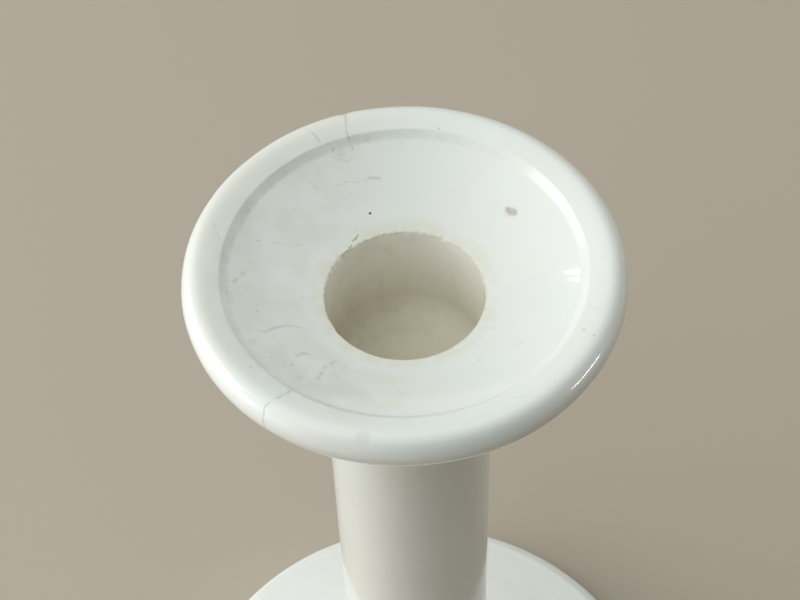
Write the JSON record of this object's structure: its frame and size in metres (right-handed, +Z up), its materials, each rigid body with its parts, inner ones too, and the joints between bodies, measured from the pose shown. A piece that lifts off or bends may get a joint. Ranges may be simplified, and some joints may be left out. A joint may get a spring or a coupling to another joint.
{
  "type": "candlestick",
  "caption": "Tall white opal glass candlestick: dished drip pan with a thick rounded rim, candle socket, straight round stem and wide round foot.",
  "frame": {"origin": "centre of the foot's underside, on the surface the candlestick stands on", "axes": "+Z up the stem's axis towards the drip pan; the shape is round, so +X and +Y are any two level directions"},
  "size_m": [0.0928, 0.0928, 0.1507],
  "materials": {
    "opal_glass": "glossy opaque white"
  },
  "bodies": {
    "root": {"drip_pan": "opal_glass", "candle_socket": "opal_glass", "stem_tube": "opal_glass", "foot": "opal_glass"}
  },
  "joints": []
}
